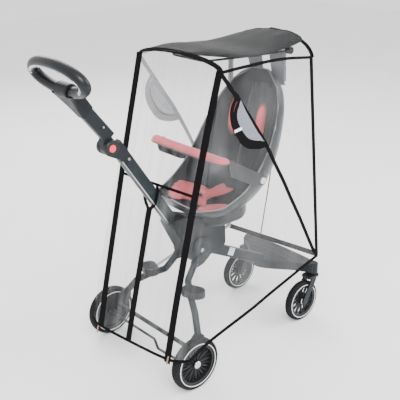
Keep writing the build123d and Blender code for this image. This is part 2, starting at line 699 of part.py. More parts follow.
vent_slope = math.degrees(math.atan2(-478, 268))
wall_lean = math.radians(3.6)
vent_plane = Plane(origin=point((262, 836), 215), x_dir=(1, 0, 0),
                   z_dir=(0, math.cos(wall_lean), math.sin(wall_lean)))
for side, name in SIDES:
    with BuildPart() as vent:
        with BuildSketch(vent_plane):
            Ellipse(92, 50, rotation=-vent_slope)
            Rectangle(220, 70, rotation=-vent_slope, align=(Align.CENTER, Align.MAX), mode=Mode.SUBTRACT)
        extrude(amount=1.0)
    save(mirrored(vent.part, side), f"cover_vent_{name}")

with BuildPart() as zip_slider:
    zip_place = (rear_x(520), 520)
    with BuildSketch(Plane(origin=point(zip_place) + rear_plane.z_dir * (COVER_T + 1.5),
                           x_dir=(0, -1, 0), z_dir=rear_plane.z_dir)):
        SlotOverall(22, 9, rotation=90)
    extrude(amount=4)
save(zip_slider.part, "zip_slider")
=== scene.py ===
"""Looks of a folding high-view child stroller under a clear rain cover, built round its CAD frame.

Metres, row frame: +X is the way it is pushed, +Y its left, +Z up.
"""

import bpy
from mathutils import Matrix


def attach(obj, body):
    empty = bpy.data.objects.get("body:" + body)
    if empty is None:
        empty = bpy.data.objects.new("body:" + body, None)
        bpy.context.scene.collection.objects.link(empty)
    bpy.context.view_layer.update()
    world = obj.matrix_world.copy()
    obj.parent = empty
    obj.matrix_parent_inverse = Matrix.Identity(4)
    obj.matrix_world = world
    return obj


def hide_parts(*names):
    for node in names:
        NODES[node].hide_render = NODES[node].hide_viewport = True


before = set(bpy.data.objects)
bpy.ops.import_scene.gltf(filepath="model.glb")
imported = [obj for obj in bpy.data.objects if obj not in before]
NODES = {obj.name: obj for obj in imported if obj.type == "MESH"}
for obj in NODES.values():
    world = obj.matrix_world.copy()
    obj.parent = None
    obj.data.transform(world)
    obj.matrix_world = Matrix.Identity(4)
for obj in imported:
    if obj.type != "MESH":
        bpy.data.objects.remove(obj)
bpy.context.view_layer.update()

import math

import bmesh
import bpy
import numpy as np
from mathutils import Matrix, Vector

AXLE_X = -0.17055              # the rear axle's place along X
SIDES = ((1, "left"), (-1, "right"))


def at(ahead, y, z):
    """Row-frame point of a place given in mm: distance ahead of the rear axle, left, up."""
    return Vector((AXLE_X + ahead / 1000, y / 1000, z / 1000))


# ---- camera and light
CAMERA_PLACE = (-1368.8, -1856.9, 1500.1)      # as at() takes it
CAMERA_TURN = (0.8600, -0.3809, -0.0130)       # yaw, pitch and roll in radians
CAMERA_LENS, CAMERA_SENSOR = 70.47, 36.0       # mm


def make_camera():
    """Camera at the photograph's viewing angle."""
    yaw, pitch, roll = CAMERA_TURN
    forward = Vector((math.cos(pitch) * math.cos(yaw), math.cos(pitch) * math.sin(yaw), math.sin(pitch)))
    level = Vector((math.sin(yaw), -math.cos(yaw), 0))
    up = level.cross(forward)
    right = level * math.cos(roll) + up * math.sin(roll)
    up = up * math.cos(roll) - level * math.sin(roll)
    data = bpy.data.cameras.new("camera")
    data.lens, data.sensor_width = CAMERA_LENS, CAMERA_SENSOR
    data.clip_end = 50
    camera = bpy.data.objects.new("camera", data)
    bpy.context.scene.collection.objects.link(camera)
    turn = Matrix((right, up, -forward)).transposed().to_4x4()
    camera.matrix_world = Matrix.Translation(at(*CAMERA_PLACE)) @ turn
    bpy.context.scene.camera = camera


def area_light(name, place, target, size, power, tint=(1, 1, 1)):
    data = bpy.data.lights.new(name, "AREA")
    data.shape, data.size, data.energy, data.color = "DISK", size, power, tint
    light = bpy.data.objects.new(name, data)
    bpy.context.scene.collection.objects.link(light)
    aim = Vector(target) - Vector(place)
    light.matrix_world = Matrix.Translation(place) @ aim.to_track_quat("-Z", "Y").to_matrix().to_4x4()


make_camera()
area_light("key", (-1.6, -2.4, 3.2), (0, 0, 0.5), 2.2, 190)
area_light("fill", (2.6, -1.8, 2.2), (0, 0, 0.5), 2.4, 90, (0.96, 0.98, 1.0))
area_light("back", (1.2, 2.8, 2.6), (0, 0, 0.6), 2.4, 90)
world = bpy.data.worlds.new("studio")
bpy.context.scene.world = world
world.use_nodes = True
world.node_tree.nodes["Background"].inputs["Color"].default_value = (1, 1, 1, 1)
world.node_tree.nodes["Background"].inputs["Strength"].default_value = 1.5


# ---- materials
class Look:
    """A principled material under construction."""

    def __init__(self, name, **values):
        self.material = bpy.data.materials.new(name)
        self.material.use_nodes = True
        self.tree = self.material.node_tree
        self.shader = self.tree.nodes["Principled BSDF"]
        for key, value in values.items():
            self.shader.inputs[key.replace("_", " ")].default_value = value

    def node(self, kind, links=None, **settings):
        made = self.tree.nodes.new(kind)
        for key, value in settings.items():
            setattr(made, key, value)
        for socket, source in (links or {}).items():
            target = made.inputs[socket]
            if isinstance(source, bpy.types.NodeSocket):
                self.tree.links.new(source, target)
            else:
                target.default_value = source
        return made

    def link(self, source, socket):
        self.tree.links.new(source, self.shader.inputs[socket])

    def place(self, space="Object", scale=(1, 1, 1)):
        coords = self.node("ShaderNodeTexCoord")
        made = self.node("ShaderNodeMapping", {"Vector": coords.outputs[space], "Scale": scale})
        return made.outputs["Vector"]

    def noise(self, where, scale, detail=4.0, rough=0.55):
        return self.node("ShaderNodeTexNoise", {"Vector": where, "Scale": scale, "Detail": detail,
                                                "Roughness": rough}).outputs["Fac"]

    def ramp(self, source, stops):
        made = self.node("ShaderNodeValToRGB", {"Fac": source})
        elements = made.color_ramp.elements
        while len(elements) < len(stops):
            elements.new(0.5)
        for element, (spot, colour) in zip(elements, stops):
            element.position = spot
            element.color = (*colour, 1)
        return made.outputs["Color"]

    def spread(self, source, low, high, start=0.3, end=0.7):
        return self.node("ShaderNodeMapRange", {"Value": source, "From Min": start, "From Max": end,
                                                "To Min": low, "To Max": high}).outputs["Result"]

    def mix(self, share, first, second):
        made = self.node("ShaderNodeMix", {"Factor": share}, data_type="RGBA")
        for index, source in ((6, first), (7, second)):
            if isinstance(source, bpy.types.NodeSocket):
                self.tree.links.new(source, made.inputs[index])
            else:
                made.inputs[index].default_value = (*source, 1)
        return made.outputs[2]

    def maths(self, kind, first, second):
        return self.node("ShaderNodeMath", {0: first, 1: second}, operation=kind).outputs[0]

    def bump(self, height, strength, distance):
        made = self.node("ShaderNodeBump", {"Height": height, "Strength": strength, "Distance": distance})
        self.link(made.outputs["Normal"], "Normal")


def shade(colour, factor):
    return tuple(min(1.0, channel * factor) for channel in colour)


def moulded(name, colour, rough, grain=900.0, wear=0.35, coat=0.0, shine=0.28):
    """Moulded plastic or paint: slight mottling, a fine grain and paler worn edges."""
    look = Look(name, Coat_Weight=coat, Coat_Roughness=0.2, Specular_IOR_Level=shine)
    where = look.place()
    mottling = look.noise(where, 14.0, 5.0)
    base = look.ramp(mottling, [(0.3, shade(colour, 0.82)), (0.7, shade(colour, 1.2))])
    edge = look.spread(look.node("ShaderNodeNewGeometry").outputs["Pointiness"], 0.0, wear, 0.52, 0.62)
    scuffed = look.maths("MULTIPLY", edge, look.spread(look.noise(where, 120.0), 0.3, 1.0))
    look.link(look.mix(scuffed, base, shade(colour, 2.6)), "Base Color")
    look.link(look.spread(look.noise(where, 60.0, 6.0), rough - 0.07, rough + 0.09), "Roughness")
    look.bump(look.noise(where, grain, 3.0), 0.18, 0.0004)
    return look.material


def metal(name, colour, rough):
    """Metal with fine uneven polish."""
    look = Look(name, Metallic=1.0)
    lines = look.noise(look.place(), 240.0, 4.0)
    look.link(look.ramp(lines, [(0.35, shade(colour, 0.8)), (0.7, colour)]), "Base Color")
    look.link(look.spread(lines, rough - 0.05, rough + 0.1), "Roughness")
    look.bump(lines, 0.1, 0.0002)
    return look.material


def woven(name, colour, threads, rough, sheen, contrast, space="UV", shine=0.2):
    """Cloth whose threads cross in two directions, so many of them in ten metres."""
    look = Look(name, Sheen_Weight=sheen, Sheen_Roughness=0.5, Roughness=rough, Specular_IOR_Level=shine)
    where = look.place(space)
    scale = threads / 20 * math.tau / 10
    warp, weft = [look.node("ShaderNodeTexWave", {"Vector": where, "Scale": scale, "Distortion": 0.3},
                            bands_direction=way).outputs["Fac"] for way in "XY"]
    cross = look.maths("MULTIPLY", warp, weft)
    patches = look.noise(look.place(), 18.0, 5.0)
    base = look.ramp(patches, [(0.3, shade(colour, 0.86)), (0.7, shade(colour, 1.12))])
    look.link(look.mix(look.spread(cross, 0.0, contrast, 0.0, 0.9), base, shade(colour, 1.6)), "Base Color")
    look.bump(cross, 0.5, 0.0004)
    return look.material


def film(name, low, high, stretch=(9, 26, 1.6)):
    """Clear film with milky creases that run the way it hangs, from low to high share of milk."""
    tint = (0.37, 0.375, 0.38)
    look = Look(name, Roughness=0.2, IOR=1.46, Specular_IOR_Level=0.5)
    where = look.place(scale=stretch)
    creases = look.noise(where, 1.0, 6.0, 0.62)
    fine = look.noise(look.place(scale=(60, 90, 14)), 1.0, 3.0)
    look.link(look.spread(creases, low, high, 0.42, 0.66), "Alpha")
    look.link(look.ramp(fine, [(0.3, shade(tint, 0.97)), (0.7, tint)]), "Base Color")
    look.bump(creases, 0.25, 0.004)
    return look.material


FRAME_PAINT = moulded("frame_paint", (0.009, 0.012, 0.014), 0.38, wear=0.5, coat=0.03, shine=0.2)
FRAME_PLASTIC = moulded("frame_plastic", (0.008, 0.010, 0.012), 0.46, shine=0.22)
SHELL = moulded("shell_plastic", (0.014, 0.016, 0.018), 0.33, wear=0.6, coat=0.08, shine=0.3)
# pale grey plastic for the bucket's rim bead: a painted highlight standing in for the light the lip catches
PAINTED_RIM_HIGHLIGHT = moulded("painted_rim_highlight", (0.15, 0.157, 0.165), 0.3, wear=0.2, coat=0.2)
POST = moulded("post_plastic", (0.17, 0.18, 0.195), 0.38)
RUBBER = moulded("tyre_rubber", (0.006, 0.0065, 0.007), 0.66, grain=500.0, wear=0.15, shine=0.16)
RIM = moulded("rim_plastic", (0.010, 0.011, 0.012), 0.38, coat=0.1, shine=0.22)
WHITE_LINE = moulded("white_line", (0.78, 0.79, 0.80), 0.5, wear=0.0)
LABEL = moulded("blank_label", (0.62, 0.64, 0.70), 0.5, wear=0.0)
BUTTON = moulded("button_plastic", (0.80, 0.06, 0.075), 0.35, wear=0.1)
GREY_BUTTON = moulded("grey_button", (0.55, 0.57, 0.60), 0.35, wear=0.1)
GRIP = moulded("ring_grip", (0.006, 0.0075, 0.009), 0.36, grain=1500.0, wear=0.2, coat=0.08, shine=0.24)
CHROME = metal("chrome", (0.75, 0.76, 0.78), 0.12)
STEEL = metal("steel", (0.55, 0.56, 0.58), 0.30)
SILVER = metal("silver_trim", (0.62, 0.63, 0.65), 0.28)
WEBBING = woven("webbing", (0.005, 0.0045, 0.005), 700.0, 0.9, 0.0, 0.10, shine=0.06)
LINING = woven("tape_lining", (0.40, 0.41, 0.42), 700.0, 0.85, 0.0, 0.10)
PINK = woven("pink_cloth", (0.66, 0.115, 0.14), 1100.0, 0.8, 0.25, 0.15, "Object")
PIPING = woven("pink_piping", (0.50, 0.075, 0.095), 1400.0, 0.7, 0.2, 0.15)
LINER = woven("liner_cloth", (0.05, 0.053, 0.057), 900.0, 0.85, 0.25, 0.2, "Object")
UNDERSIDE = woven("grey_cloth", (0.055, 0.058, 0.062), 900.0, 0.85, 0.2, 0.15, "Object")
CANOPY = woven("canopy_cloth", (0.017, 0.0175, 0.018), 900.0, 0.9, 0.05, 0.10, shine=0.1)
ELASTIC = woven("elastic_tab", (0.26, 0.14, 0.115), 1500.0, 0.8, 0.3, 0.3)
TAB = woven("white_tab", (0.80, 0.80, 0.80), 1500.0, 0.8, 0.2, 0.1)
BROWN = woven("brown_piping", (0.16, 0.11, 0.10), 1500.0, 0.7, 0.1, 0.1)
REAR_FILM = film("rear_film", 0.03, 0.22)
SIDE_FILM = film("side_film", 0.05, 0.16, stretch=(5, 5, 2.4))
ROOF_FILM = film("roof_film", 0.006, 0.03, stretch=(6, 16, 6))
FRONT_FILM = film("front_film", 0.02, 0.08)


def vent_mesh():
    """Fine netting with open holes."""
    look = Look("vent_mesh", Roughness=0.6)
    holes = look.node("ShaderNodeTexVoronoi", {"Vector": look.place(), "Scale": 420.0}).outputs["Distance"]
    look.link(look.ramp(holes, [(0.15, (0.05, 0.055, 0.07)), (0.6, (0.26, 0.28, 0.33))]), "Base Color")
    look.link(look.spread(holes, 0.45, 0.85, 0.15, 0.5), "Alpha")
    look.bump(holes, 0.4, 0.0004)
    return look.material


MESH = vent_mesh()


def floor_material():
    look = Look("floor", Roughness=0.7)
    grain = look.noise(look.place(), 3.0, 6.0)
    look.link(look.ramp(grain, [(0.3, (0.90, 0.90, 0.90)), (0.7, (0.93, 0.93, 0.93))]), "Base Color")
    return look.material


# ---- mesh tools
SWEEP_CREASE, LATHE_CREASE = 40, 35            # degrees
TUBE_SIDES = 12


def vectors(*places):
    return [Vector(place) for place in places]


def turns(count):
    """Even angles round a full turn, in radians."""
    return [math.tau * i / count for i in range(count)]


def mirrored(places, side):
    """Pairs whose second value is turned to the left (1) or right (-1) side."""
    return [(a, side * b) for a, b in places]


def blunt(value, power):
    """Power of a cosine or sine that keeps its sign, for rounded boxy sections."""
    return math.copysign(abs(value) ** power, value)


def look_up(table, spot):
    """A table's other columns, interpolated at a value of its first."""
    first, *others = zip(*table)
    return [float(np.interp(spot, first, column)) for column in others]


def catmull(p0, p1, p2, p3, t):
    """Place on a Catmull-Rom curve between p1 and p2."""
    return 0.5 * (2 * p1 + (p2 - p0) * t + (2 * p0 - 5 * p1 + 4 * p2 - p3) * t * t
                  + (3 * p1 - p0 - 3 * p2 + p3) * t ** 3)


def finish_mesh(name, build, material, body="chassis", smooth=True, crease=None):
    """Object from a bmesh, riding on a body; edges between faces at more than crease degrees are sharp."""
    mesh = bpy.data.meshes.new(name)
    bmesh.ops.recalc_face_normals(build, faces=build.faces)
    build.to_mesh(mesh)
    build.free()
    for polygon in mesh.polygons:
        polygon.use_smooth = smooth
    mesh.materials.append(material)
    made = bpy.data.objects.new(name, mesh)
    bpy.context.scene.collection.objects.link(made)
    if crease is not None:
        mesh.set_sharp_from_angle(angle=math.radians(crease))
    if body:
        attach(made, body)
    return made


def grid(rows, close_u=False, close_v=False, uv=None, capped=False, skip=None, build=None):
    """Bmesh of faces over rows of points, capped at the first and last row if asked, added to build if given.

    uv gives each point's place on the cloth in metres; a face with a corner that skip picks is left out.
    """
    build = bmesh.new() if build is None else build
    layer = build.loops.layers.uv.verify()
    made = [[build.verts.new(p) for p in row] for row in rows]
    high, wide = len(made), len(made[0])
    for i in range(high if close_v else high - 1):
        for j in range(wide if close_u else wide - 1):
            spots = [(i, j), (i, j + 1), (i + 1, j + 1), (i + 1, j)]
            if skip and any(skip(a, b) for a, b in spots):
                continue
            face = build.faces.new([made[a % high][b % wide] for a, b in spots])
            for loop, (a, b) in zip(face.loops, spots):
                loop[layer].uv = uv(a, b) if uv else (a * 0.01, b * 0.01)
    if capped:
        build.faces.new(made[0][::-1])
        build.faces.new(made[-1])
    return build


def spline(points, step):
    """Catmull-Rom curve through the points, sampled about every step."""
    points = vectors(*points)
    ends = [points[0] * 2 - points[1]] + points + [points[-1] * 2 - points[-2]]
    curve = []
    for four in zip(ends, ends[1:], ends[2:], ends[3:]):
        count = max(1, round((four[2] - four[1]).length / step))
        curve += [catmull(*four, i / count) for i in range(count)]
    return curve + [points[-1]]


def tangents(points, closed=False):
    """Unit direction of travel at each point."""
    count = len(points)
    if closed:
        return [(points[(i + 1) % count] - points[i - 1]).normalized() for i in range(count)]
    return [(points[min(i + 1, count - 1)] - points[max(i - 1, 0)]).normalized() for i in range(count)]


def sweep(name, points, section, normals, material, body, closed=False):
    """Section of (across, out) places carried along points, out being the way of the normals."""
    rows, run = [], [0.0]
    for p, q in zip(points, points[1:]):
        run.append(run[-1] + (q - p).length)
    for i, (p, t) in enumerate(zip(points, tangents(points, closed))):
        out = normals(p, i) if callable(normals) else Vector(normals)
        across = out.cross(t).normalized()
        out = t.cross(across).normalized()
        rows.append([p + across * a + out * b for a, b in section])
    girth = [0.0]
    for (a, b), (c, d) in zip(section, section[1:] + section[:1]):
        girth.append(girth[-1] + math.hypot(c - a, d - b))

    def on_cloth(i, j):
        return girth[min(j, len(section))], run[min(i, len(run) - 1)]

    build = grid(rows, close_u=True, close_v=closed, uv=on_cloth, capped=not closed)
    return finish_mesh(name, build, material, body, True, SWEEP_CREASE)


def band_section(width, thick, lift):
    """Flat tape with slightly rounded long edges."""
    w, e = width / 2, min(thick * 0.5, width * 0.12)
    return [(-w, lift), (-w, lift + thick - e), (-w + e, lift + thick), (w - e, lift + thick),
            (w, lift + thick - e), (w, lift)]


def tape(name, points, normals, width, material=WEBBING, body="chassis", thick=0.0012, lift=0.0004,
         lining=None):
    """Flat tape along points; its inner face can have a lining."""
    section = band_section(width, thick, lift)
    made = sweep(name, points, section, normals, material, body)
    if lining:
        made.data.materials.append(lining)
        faces = (len(points) - 1) * len(section)
        for polygon in list(made.data.polygons)[:faces]:
            if polygon.index % len(section) == len(section) - 1:
                polygon.material_index = 1
    return made


def tube(name, points, radius, material, body="chassis", closed=False, normals=(0.0, 0.3, 1.0)):
    """Round bar or piping along points."""
    section = [(radius * math.cos(a), radius * math.sin(a)) for a in turns(TUBE_SIDES)]
    return sweep(name, points, section, normals, material, body, closed)


def lathe(name, profile, centre, material, body, segments=96, closed=True, wave=None):
    """Profile of (radius, place along Y) turned about the Y axis through centre.

    wave(radius, index) gives the radius at one of the steps round the axis.
    """
    rows = []
    for i, angle in enumerate(turns(segments)):
        ring = [(wave(r, i) if wave else r, y) for r, y in profile]
        rows.append([centre + Vector((r * math.cos(angle), y, r * math.sin(angle))) for r, y in ring])
    build = grid(rows, close_u=closed, close_v=True)
    bmesh.ops.remove_doubles(build, verts=build.verts, dist=1e-6)
    return finish_mesh(name, build, material, body, True, LATHE_CREASE)


def use(material, *names):
    """Puts a material on CAD nodes."""
    for name in names:
        data = NODES[name].data
        data.materials.clear()
        data.materials.append(material)


def both(name):
    return [f"{name}_left", f"{name}_right"]


# ---- CAD nodes that keep their shape
use(FRAME_PAINT, "front_beam", "lower_arm", "upper_arm", "rear_axle", "brake_bar", *both("rear_leg"))
use(FRAME_PLASTIC, "footrest", "hub_housing", "knuckle_base", "handle_yoke", "canopy_frame",
    *both("caster_fork"), *both("caster_socket"), *both("hub_disc"), *both("wheel_bracket"), *both("leg_pad"))
use(SHELL, "seat_shell", "seat_base", "bumper_frame")
use(POST, *both("canopy_post"))
use(STEEL, "hub_pin", "fold_pin", "arm_screws", "canopy_pivot")
use(GRIP, "handle_ring")
use(BUTTON, *both("handle_button"))
use(GREY_BUTTON, *both("bumper_button"))
use(RIM, *both("rear_rim"), *both("front_rim"))
use(WEBBING, "zip_slider")


# ---- wheels
TREAD_DEPTH = 0.0011
SPOKES = 12


def wheel(name, centre, radius, width, line, outwards):
    """Tyre with tread blocks, sidewall lines, bead rings, hub cap, spoke ribs, a rear wheel's brake web."""
    bead, half = radius * 0.80, width / 2
    flank = [(bead, half * 0.82), (bead + 0.001, half * 0.93), (radius * 0.86, half),
             (radius * 0.93, half * 0.95), (radius * 0.975, half * 0.72), (radius * 0.99, half * 0.5),
             (radius * 0.982, half * 0.46), (radius * 0.995, half * 0.40), (radius, half * 0.12),
             (radius * 0.985, half * 0.06)]
    profile = flank + mirrored(reversed(flank), -1)

    def tread(r, index):
        return r - TREAD_DEPTH if r > radius * 0.972 and index % 4 == 0 else r

    tyre = lathe(f"{name}_tread_tyre", profile, centre, RUBBER, name, 192, True, tread)
    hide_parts(name.replace("wheel", "tyre"))
    stripe = [(line - 0.0011, half * 0.97), (line - 0.0011, half + 0.0008), (line + 0.0011, half + 0.0008),
              (line + 0.0011, half * 0.97)]
    rim_y = half - 0.0028
    lip = [(bead - 0.003, rim_y), (bead - 0.0024, rim_y + 0.0012), (bead - 0.0008, rim_y + 0.0012),
           (bead - 0.0004, rim_y - 0.001), (bead - 0.003, rim_y - 0.001)]
    for label, ring, material in (("white_line", stripe, WHITE_LINE), ("bead_ring", lip, RIM)):
        for side, face in ((1, "out"), (-1, "in")):
            lathe(f"{name}_{label}_{face}", mirrored(ring, side), centre, material, name)
    if name.startswith("rear"):
        web = [(0.0142, half * 0.30), (bead - 0.006, half * 0.30), (bead - 0.006, half * 0.45),
               (0.0142, half * 0.45)]
        lathe(f"{name}_brake_web", mirrored(web, -outwards), centre, RIM, name, 72)
    face = half - 0.001
    cap = [(0.0, face + 0.004), (0.006, face + 0.0036), (0.0105, face + 0.002), (0.0125, face - 0.0005),
           (0.0125, face - 0.004), (0.0, face - 0.004)]
    lathe(f"{name}_hub_cap", mirrored(cap, outwards), centre, CHROME, name, 48, False)
    build = bmesh.new()
    for i in range(SPOKES):
        angle = math.tau * (i + 0.5) / SPOKES
        ray = Vector((math.cos(angle), 0, math.sin(angle)))
        turn = Vector((-math.sin(angle), 0, math.cos(angle)))
        for side in (1, -1):
            y = side * width * 0.16
            section = [(-0.0018, 0), (-0.0008, 0.0022), (0.0008, 0.0022), (0.0018, 0)]
            grid([[centre + ray * r + turn * a + Vector((0, y + side * b, 0)) for a, b in section]
                  for r in (0.0145, bead * 0.5, bead - 0.009)], close_u=True, capped=True, build=build)
    finish_mesh(f"{name}_spoke_ribs", build, RIM, name, False)


for side, name in SIDES:
    wheel(f"rear_wheel_{name}", at(0, side * 232, 89), 0.089, 0.032, 0.0728, side)
    wheel(f"front_wheel_{name}", at(573, side * 166, 77), 0.077, 0.026, 0.0630, side)


# ---- rain cover shape, all in mm
REAR_FOOT_Z, REAR_TOP_Z = 122, 997
REAR_HIGH = REAR_TOP_Z - REAR_FOOT_Z
REAR_FOOT_HALF, REAR_TOP_HALF = 257, 197       # half widths of the rear panel
REAR_LEAN = (243, 897)                         # ahead and up along the rear panel
REAR_UP = Vector((REAR_LEAN[0], 0, REAR_LEAN[1])).normalized()
REAR_OUT = Vector((-REAR_UP.z, 0, REAR_UP.x))
ARCH_RISE = 30                                 # of the rear panel's arched top
CROSS_Z = 624                                  # height of the rear panel's cross tape
FRONT_FOOT_Z, FRONT_TOP_Z = 268, 988
FRONT_HIGH = FRONT_TOP_Z - FRONT_FOOT_Z
FRONT_ARCH_Z, FRONT_TOP_HALF = 983, 190        # ends of the front arch


def rear_edge(z):
    """Half width of the rear panel at a height."""
    return REAR_FOOT_HALF + (REAR_TOP_HALF - REAR_FOOT_HALF) * (z - REAR_FOOT_Z) / REAR_HIGH


def folds(y, z, size):
    """Soft upright folds of hanging film."""
    lean = 9 * math.sin(z / 170 + 0.4)
    return size * (math.sin((y + lean) / 17.0 + 0.6) * 0.40 + math.sin((y - 1.7 * lean) / 39.0 + 2.0) * 0.8
                   + 0.3 * math.sin((y + z * 0.12) / 8.5))


def rear_low(u):
    """Height of the rear hem, u from -1 to 1 across; it hangs lower on the left."""
    return 108 - 24 * u + 14 * abs(u) ** 4


def skew(z):
    """How far the hanging film is pulled to the right at a height."""
    return 24 * min(1.0, max(0.0, 1 - (z - REAR_FOOT_Z) / REAR_HIGH))


def rear_point(y, z, out=0.0):
    """On the rear panel; its outer edges turn forward at the foot, and its folds stop at seams and slot."""
    bend = 22 * max(0.0, (abs(y) - 190) / 67) ** 2
    held = min(1.0, abs(z - CROSS_Z) / 60) * min(1.0, abs(abs(y) - 190) / 30) * min(1.0, abs(y) / 22)
    held *= min(1.0, max(0.0, z - 112) / 90) * min(1.0, max(0.0, 1010 - z) / 60)
    place = at(-96 + REAR_LEAN[0] * (z - 100) / REAR_LEAN[1] + bend, y - skew(z), z)
    return place + REAR_OUT * (out + folds(y, z, 2.6) * held) / 1000


def rail(points, share):
    """Catmull-Rom place along a rail, share from 0 to 1 over its even spans."""
    spot = min(share, 0.9999) * (len(points) - 1)
    i, t = int(spot), spot - int(spot)
    ends = [points[0] * 2 - points[1]] + points + [points[-1] * 2 - points[-2]]
    return catmull(*ends[i:i + 4], t)


HEM = {1: vectors((-74, 233, 98), (84, 243, 142), (330, 250, 206), (603, 257, 230)),
       -1: vectors((-60, 279, 146), (29, 269, 174), (227, 250, 204), (330, 241, 225), (465, 226, 247),
                   (601, 210, 268))}
TOP = vectors((147, 197, 997), (235, 200, 1001), (390, 201, 1002), (551, 190, 984))


def side_point(side, u, v, out=0.0):
    """On a side panel: u from rear to front, v from hem to top seam."""
    low, high = rail(HEM[side], u), rail(TOP, u)
    place = low.lerp(high, v)
    z = HEM[side][0].z + (TOP[0].z - HEM[side][0].z) * v
    edge = (rear_point(side * rear_edge(z), z) - at(0, 0, 0)) * 1000
    edge.y *= side
    place += (edge - HEM[side][0].lerp(TOP[0], v)) * (1 - u) ** 6
    hollow = math.sin(math.pi * v) * math.sin(math.pi * u)
    sag = -5.0 * hollow + 1.6 * hollow * math.sin(u * 19 + v * 9) + 1.1 * hollow * math.sin(v * 23 - u * 13)
    return at(place.x, side * (place.y + sag + out), place.z)


def side_at(side, ahead, z, out):
    """Point of a side panel over a side-view place, out of it by so many mm."""
    low_u, high_u = 0.0, 1.0
    for _ in range(24):
        u = (low_u + high_u) / 2
        low, high = rail(HEM[side], u), rail(TOP, u)
        v = (z - low.z) / (high.z - low.z)
        if low.x + (high.x - low.x) * v < ahead:
            low_u = u
        else:
            high_u = u
    return side_point(side, u, v, out)


def front_low(y):
    """Height of the front panel's hem, which hangs lower on the left."""
    return 269 - 39 * (y + 207) / 464


def front_half(u, z):
    """Half width of the front panel at a height; its left half flares out to the hem."""
    foot_half, flare = (257, 66) if u > 0 else (209, 18)
    return foot_half - flare * (min(z, FRONT_TOP_Z) - FRONT_FOOT_Z) / FRONT_HIGH


def front_point(y, z, out=0.0):
    """On the front panel, out being forward in mm."""
    held = min(1.0, abs(abs(y) - 200) / 40) * min(1.0, max(0.0, z - FRONT_FOOT_Z) / 60)
    return at(602 - 49.5 * (z - FRONT_FOOT_Z) / FRONT_HIGH + out + folds(y, z, 1.0) * held, y, z)


# Place ahead, half widths right and left, edge heights right and left, and rise of the crown
CANOPY_ROWS = [(152, 8, 188, 1026, 1010, 5), (235, 112, 172, 1019, 1018, 18), (313, 144, 156, 1013, 1014, 16),
               (380, 150, 150, 1012, 1012, 14), (444, 150, 150, 1018, 1010, 22),
               (502, 150, 150, 1024, 1008, 32), (546, 149, 149, 1033, 1007, 34)]


def canopy_place(share, across):
    """On the canopy cloth, in mm: share from the rear edge to the front one, across from -1 to 1."""
    ahead, right, left = rail([Vector(row[:3]) for row in CANOPY_ROWS], share)
    low, high, rise = rail([Vector(row[3:]) for row in CANOPY_ROWS], share)
    y = across * (left if across > 0 else right)
    edge = low + (high - low) * (y + right) / (left + right)
    crown = math.sqrt(max(0.0, 1 - abs(across) ** 2.3))
    pull = 1.5 * max(0.0, share - 0.45) * math.sin(across * 13 + share * 3) * (1 - abs(across) ** 6)
    sag = -1.8 * math.sin(math.pi * share) * crown
    return ahead, y, edge + rise * crown + (pull + sag) * min(1.0, crown * 2)


def canopy_point(share, across):
    return at(*canopy_place(share, across))


# Place ahead, half width, height of the edge and rise of the crown
ROOF = [(149, 197, 997, 30), (235, 200, 1001.5, 36), (390, 201, 1002.5, 46), (500, 196, 993, 62),
        (551, 190, 984, 66)]


def front_arch(u):
    """Height of the front arch over its ends, u from -1 to 1 across; it leans to the right."""
    if abs(u) >= 1:
        return 0
    if u < 0:
        return 70 * (1 - abs(u) ** 2.6) ** 0.55
    return 66 * (1 - u * u) ** 0.5 * (1 - 0.25 * u)


def roof_point(share, angle):
    """On the roof: share from the rear arch to the front one, angle from -90 to 90 degrees across."""
    ahead = ROOF[0][0] + (ROOF[-1][0] - ROOF[0][0]) * share
    half, edge, rise = look_up(ROOF, ahead)
    turn = math.radians(angle)
    y = half * math.sin(turn)
    lean = max(0.0, share - 0.6) / 0.4
    level = rise * math.cos(turn) * (1 - lean) + front_arch(math.sin(turn)) * lean
    sag = -4 * math.sin(math.pi * share) * math.cos(turn)
    z = edge + level + sag
    spot = float(np.interp(ahead, [row[0] for row in CANOPY_ROWS], np.arange(7) / 6))
    reach = y / (165 if y > 0 else 150 if 0.2 < spot else 110)
    if abs(reach) < 1:                   # the film lies on the canopy's cloth
        z = max(z, canopy_place(spot, reach)[2] + 1.5)
    return at(ahead, y, z)


def arch_top(u):
    """Height of the rear panel's arched top edge, u from -1 to 1 across."""
    return REAR_TOP_Z + ARCH_RISE * math.sqrt(max(0.0, 1 - u * u))


# ---- rain cover film
def sheet_of(name, rows, material, node, uv):
    """Stretched film panel in place of a CAD panel."""
    made = finish_mesh(name, grid(rows, uv=uv), material)
    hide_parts(node)


def build_rear():
    """Rear panel, open where the push arm comes through its slot."""
    wide, high = 72, 150
    places = []
    for i in range(high + 1):
        v = i / high
        row = []
        for j in range(wide + 1):
            u = j / wide * 2 - 1
            z = rear_low(u) + (arch_top(u) - rear_low(u)) * v
            row.append((u * rear_edge(z), z))
        places.append(row)

    def in_slot(i, j):
        y, z = places[i][j]
        return math.hypot(y - 21, max(0.0, abs(z - 587) - 24)) < 20

    build = grid([[rear_point(y, z) for y, z in row] for row in places], skip=in_slot,
                 uv=lambda i, j: (places[i][j][0] / 1000, places[i][j][1] / 1000))
    bmesh.ops.delete(build, geom=[v for v in build.verts if not v.link_faces], context="VERTS")
    film_piece = finish_mesh("rear_film_panel", build, REAR_FILM)
    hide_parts("cover_rear")


build_rear()
for side, name in SIDES:
    rows = [[side_point(side, j / 60, i / 60) for j in range(61)] for i in range(61)]
    sheet_of(f"side_film_{name}", rows, SIDE_FILM, f"cover_side_{name}",
             lambda a, b: (b * 0.011, a * 0.014))

